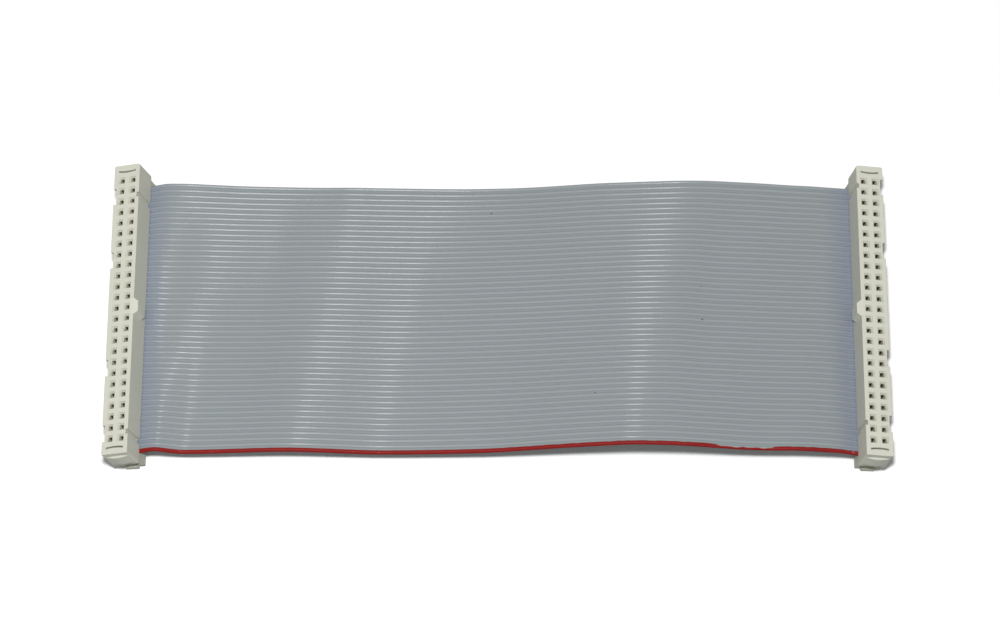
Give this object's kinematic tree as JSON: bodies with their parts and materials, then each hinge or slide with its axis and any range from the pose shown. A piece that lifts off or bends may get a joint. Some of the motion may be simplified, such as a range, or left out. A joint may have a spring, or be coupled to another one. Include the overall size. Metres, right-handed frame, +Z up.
{
  "type": "ribbon cable",
  "caption": "Flat grey ribbon cable with a red edge stripe and a female pin socket pressed onto each end, lying in a low wave.",
  "frame": {"origin": "middle of the length and width, on the surface the cable lies on", "axes": "+X along the cable from the more tilted socket to the other, +Y across it away from the striped edge, +Z up"},
  "size_m": [0.1684, 0.069, 0.0117],
  "materials": {
    "ribbon_pvc": "semi-gloss extruded PVC",
    "stripe_ink": "semi-gloss printed ink",
    "socket_plastic": "matte moulded polyester",
    "cover_plastic": "matte moulded polyester",
    "contact_metal": "stamped and plated",
    "conductor_metal": "bare stranded copper"
  },
  "bodies": {
    "root": {"ribbon_insulation": "ribbon_pvc", "edge_stripe": "stripe_ink", "left_socket_body": "socket_plastic", "left_socket_cover": "cover_plastic", "right_socket_body": "socket_plastic", "right_socket_cover": "cover_plastic", "left_outer_contacts": "contact_metal", "left_inner_contacts": "contact_metal", "right_outer_contacts": "contact_metal", "right_inner_contacts": "contact_metal", "conductor_1": "conductor_metal", "conductor_2": "conductor_metal", "conductor_3": "conductor_metal", "conductor_4": "conductor_metal", "conductor_5": "conductor_metal", "conductor_6": "conductor_metal", "conductor_7": "conductor_metal", "conductor_8": "conductor_metal", "conductor_9": "conductor_metal", "conductor_10": "conductor_metal", "conductor_11": "conductor_metal", "conductor_12": "conductor_metal", "conductor_13": "conductor_metal", "conductor_14": "conductor_metal", "conductor_15": "conductor_metal", "conductor_16": "conductor_metal", "conductor_17": "conductor_metal", "conductor_18": "conductor_metal", "conductor_19": "conductor_metal", "conductor_20": "conductor_metal", "conductor_21": "conductor_metal", "conductor_22": "conductor_metal", "conductor_23": "conductor_metal", "conductor_24": "conductor_metal", "conductor_25": "conductor_metal", "conductor_26": "conductor_metal", "conductor_27": "conductor_metal", "conductor_28": "conductor_metal", "conductor_29": "conductor_metal", "conductor_30": "conductor_metal", "conductor_31": "conductor_metal", "conductor_32": "conductor_metal", "conductor_33": "conductor_metal", "conductor_34": "conductor_metal", "conductor_35": "conductor_metal", "conductor_36": "conductor_metal", "conductor_37": "conductor_metal", "conductor_38": "conductor_metal", "conductor_39": "conductor_metal", "conductor_40": "conductor_metal", "conductor_41": "conductor_metal", "conductor_42": "conductor_metal", "conductor_43": "conductor_metal", "conductor_44": "conductor_metal", "conductor_45": "conductor_metal", "conductor_46": "conductor_metal", "conductor_47": "conductor_metal", "conductor_48": "conductor_metal", "conductor_49": "conductor_metal", "conductor_50": "conductor_metal"}
  },
  "joints": []
}
